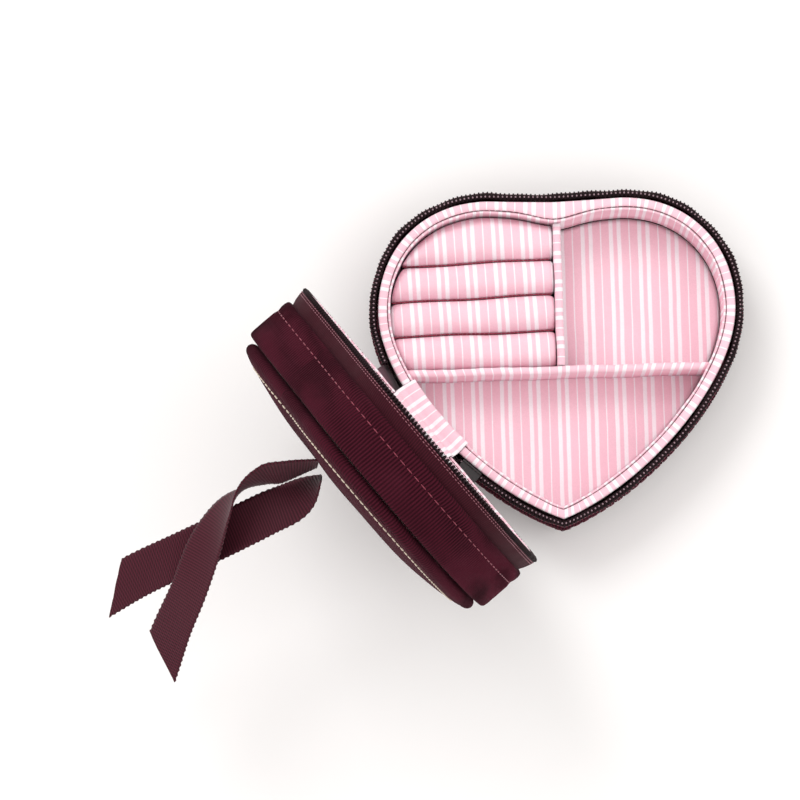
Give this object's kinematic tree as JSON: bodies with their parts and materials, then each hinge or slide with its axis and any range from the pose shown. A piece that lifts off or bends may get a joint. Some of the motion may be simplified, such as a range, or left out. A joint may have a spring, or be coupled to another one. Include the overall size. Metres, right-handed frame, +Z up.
{
  "type": "jewellery case",
  "caption": "Heart-shaped zip-around jewellery case with a cloth-hinged lid, a divided lined tray with ring rolls, and a ribbon on the lid.",
  "frame": {"origin": "on the base's flat bottom face, under the middle of the heart", "axes": "+X to the heart's right, +Y towards its lobes, +Z up"},
  "size_m": [0.2213, 0.171, 0.1472],
  "materials": {
    "needlecord": "fine-ribbed cotton needlecord, matte",
    "zip_tape": "herringbone woven polyester tape, matte",
    "zip_coil": "nylon coil, satin",
    "striped_cotton": "striped cotton poplin, matte",
    "greyboard": "pressed grey board, matte",
    "satin_tape": "satin-faced tape, soft sheen",
    "slider_metal": "enamelled zinc, semi-gloss",
    "grosgrain": "ribbed grosgrain ribbon, soft sheen"
  },
  "bodies": {
    "base": {"base_bottom_panel": "needlecord", "base_edge_roll": "needlecord", "base_floor_board": "greyboard", "base_floor_pad": "striped_cotton", "base_rim_binding": "striped_cotton", "base_side_band": "needlecord", "base_wall_board": "greyboard", "base_wall_lining": "striped_cotton", "base_zip_coil": "zip_coil", "base_zip_tape": "zip_tape", "hinge_lining_strip": "striped_cotton", "hinge_outer_tape": "satin_tape", "long_divider": "striped_cotton", "ring_roll_1": "striped_cotton", "ring_roll_2": "striped_cotton", "ring_roll_3": "striped_cotton", "ring_roll_4": "striped_cotton", "short_divider": "striped_cotton"},
    "lid": {"lid_ceiling_panel": "striped_cotton", "lid_edge_roll": "needlecord", "lid_rim_binding": "striped_cotton", "lid_side_band": "needlecord", "lid_top_board": "greyboard", "lid_top_pad": "needlecord", "lid_wall_board": "greyboard", "lid_wall_lining": "striped_cotton", "lid_zip_coil": "zip_coil", "lid_zip_tape": "zip_tape", "ribbon_tail_lower": "grosgrain", "ribbon_tail_upper": "grosgrain"},
    "slider": {"zip_slider": "slider_metal", "zip_slider_bridge": "slider_metal"},
    "pull": {"zip_pull_tab": "slider_metal"}
  },
  "joints": [
    {"name": "lid_hinge", "type": "hinge", "parent": "base", "child": "lid", "pos_m": [-0.047, -0.0257, 0.0265], "axis": [0.6225, -0.7826, 0], "range_deg": [-95, 0], "deforming": ["hinge_lining_strip", "hinge_outer_tape", "ribbon_tail_upper", "ribbon_tail_lower"]},
    {"name": "zip_slider_run", "type": "hinge", "parent": "base", "child": "slider", "pos_m": [0.04698, 0.04604, 0.0265], "axis": [0, 0, 1], "range_deg": [0, 9.5]},
    {"name": "zip_pull_lift", "type": "hinge", "parent": "slider", "child": "pull", "pos_m": [-0.0342, -0.04482, 0.0253], "axis": [-0.7472, 0.6645, 0], "range_deg": [0, 60]}
  ]
}
